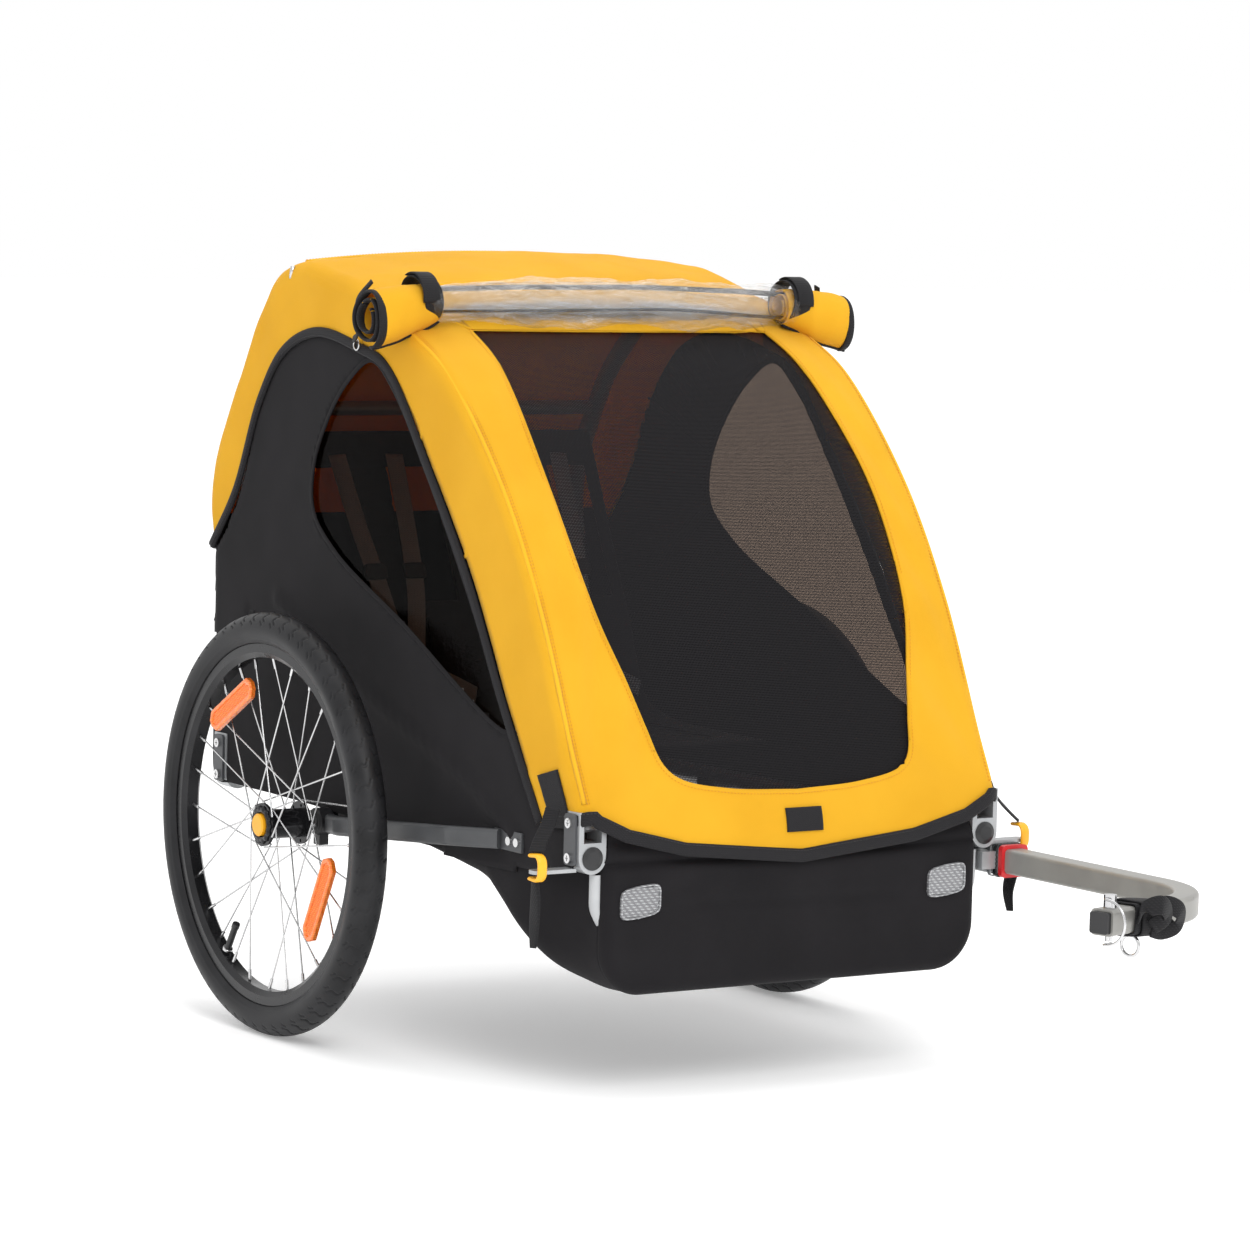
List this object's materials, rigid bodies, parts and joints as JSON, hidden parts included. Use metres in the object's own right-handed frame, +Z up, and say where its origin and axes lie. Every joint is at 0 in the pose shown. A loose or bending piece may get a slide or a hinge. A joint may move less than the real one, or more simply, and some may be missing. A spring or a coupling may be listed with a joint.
{
  "type": "child bicycle trailer",
  "caption": "Covered child bicycle trailer with folding frame, spoked quick-release wheels, footwell, harnessed seat sling, mesh front cover and bent tow arm.",
  "frame": {"origin": "on the ground under the middle of the axle", "axes": "+Z up, the nose points along -Y, +X is the left side of the trailer, where the tow arm is"},
  "size_m": [0.75, 1.2898, 0.8932],
  "materials": {
    "tyre": "matte rubber",
    "inner_rubber": "smooth rubber",
    "black_rim": "black anodised, satin",
    "spoke_steel": "bright drawn wire",
    "black_hub": "black, satin",
    "orange_reflector": "moulded reflector",
    "yellow_plastic": "moulded, smooth",
    "bearing_steel": "ground steel",
    "frame_tube": "satin anodised",
    "black_plastic": "moulded, fine texture",
    "casting_grey": "satin, bead blasted",
    "dark_plate": "dark grey, satin",
    "arm_grey": "grey anodised",
    "red_plastic": "moulded, smooth",
    "clear_lens": "prismatic reflector",
    "yellow_fabric": "coated woven polyester",
    "black_fabric": "coated woven polyester",
    "black_mesh": "open woven mesh",
    "tinted_film": "smoked vinyl film",
    "clear_film": "crumpled clear vinyl with fabric ends",
    "black_webbing": "flat woven webbing",
    "grey_webbing": "flat woven webbing"
  },
  "bodies": {
    "base": {"arm_end_block": "black_plastic", "axle_saddles": "black_plastic", "axle_sleeves": "black_plastic", "axle_tube": "frame_tube", "base_rails": "frame_tube", "cargo_floor": "black_fabric", "casting_plates": "dark_plate", "cross_tubes": "frame_tube", "footwell_hoop": "frame_tube", "footwell_tub": "black_fabric", "frame_screws": "bearing_steel", "front_castings": "casting_grey", "front_reflectors": "clear_lens", "guard_bars": "dark_plate", "harness_buckles": "black_plastic", "harness_straps": "grey_webbing", "hitch_pin": "bearing_steel", "rail_end_caps": "black_plastic", "rear_castings": "casting_grey", "rear_panel": "black_fabric", "receiver_collar": "red_plastic", "roof_cover": "yellow_fabric", "safety_strap": "black_webbing", "seat_sling": "black_fabric", "side_panels": "black_fabric", "side_windows": "tinted_film", "strap_ring": "bearing_steel", "tow_arm": "arm_grey", "tow_receiver": "casting_grey", "wheel_axles": "bearing_steel", "wheel_bearings": "bearing_steel"},
    "left_wheel": {"left_tyre": "tyre", "left_inner_tube": "inner_rubber", "left_rim": "black_rim", "left_spokes": "spoke_steel", "left_hub": "black_hub", "left_wheel_reflectors": "orange_reflector"},
    "right_wheel": {"right_tyre": "tyre", "right_inner_tube": "inner_rubber", "right_rim": "black_rim", "right_spokes": "spoke_steel", "right_hub": "black_hub", "right_wheel_reflectors": "orange_reflector"},
    "left_button": {"left_release_button": "yellow_plastic"},
    "right_button": {"right_release_button": "yellow_plastic"},
    "rear_hoop": {"rear_hoop": "frame_tube", "hoop_feet": "black_plastic", "seat_bar": "frame_tube"},
    "front_bows": {"front_bows": "frame_tube", "bow_latches": "black_plastic"},
    "front_cover": {"front_cover": "yellow_fabric", "front_mesh": "black_mesh", "rain_shield_roll": "clear_film", "roll_straps": "black_webbing", "cover_hooks": "yellow_plastic", "hook_straps": "black_webbing"},
    "receiver_pin": {"receiver_pin": "bearing_steel"},
    "hitch_bail": {"hitch_bail": "bearing_steel"},
    "left_buckle_button": {"left_buckle_button": "yellow_plastic"},
    "right_buckle_button": {"right_buckle_button": "yellow_plastic"}
  },
  "joints": [
    {"name": "rear_hoop_fold", "type": "hinge", "parent": "base", "child": "rear_hoop", "pos_m": [0, 0.262, 0.308], "axis": [1, 0, 0], "range_deg": [0, 72], "deforming": ["side_panels", "side_windows", "front_cover", "front_mesh", "roof_cover", "rear_panel", "rain_shield_roll", "roll_straps", "seat_sling", "harness_straps"]},
    {"name": "front_bows_fold", "type": "hinge", "parent": "base", "child": "front_bows", "pos_m": [0, -0.526, 0.308], "axis": [-1, 0, 0], "range_deg": [0, 40]},
    {"name": "front_cover_lift", "type": "hinge", "parent": "base", "child": "front_cover", "pos_m": [0, -0.054, 0.863], "axis": [1, 0, 0], "range_deg": [-75, 0]},
    {"name": "left_wheel_spin", "type": "hinge", "parent": "base", "child": "left_wheel", "pos_m": [0.355, 0, 0.245], "axis": [1, 0, 0], "continuous": true},
    {"name": "right_wheel_spin", "type": "hinge", "parent": "base", "child": "right_wheel", "pos_m": [-0.355, 0, 0.245], "axis": [1, 0, 0], "continuous": true},
    {"name": "left_release_press", "type": "slide", "parent": "base", "child": "left_button", "axis": [-1, 0, 0], "range_m": [0, 0.005]},
    {"name": "right_release_press", "type": "slide", "parent": "base", "child": "right_button", "axis": [1, 0, 0], "range_m": [0, 0.005]},
    {"name": "receiver_pin_pull", "type": "slide", "parent": "base", "child": "receiver_pin", "axis": [0, 0, 1], "range_m": [0, 0.045]},
    {"name": "hitch_bail_swing", "type": "hinge", "parent": "base", "child": "hitch_bail", "pos_m": [0.11347, -0.95119, 0.261], "axis": [-0.9622, -0.2723, 0], "range_deg": [0, 110]},
    {"name": "left_buckle_press", "type": "slide", "parent": "base", "child": "left_buckle_button", "axis": [0, 0.9102, -0.4142], "range_m": [0, 0.003]},
    {"name": "right_buckle_press", "type": "slide", "parent": "base", "child": "right_buckle_button", "axis": [0, 0.9102, -0.4142], "range_m": [0, 0.003]}
  ],
  "couplings": [
    {"joint": "front_bows_fold", "follows": "rear_hoop_fold", "ratio": 0.55556}
  ]
}
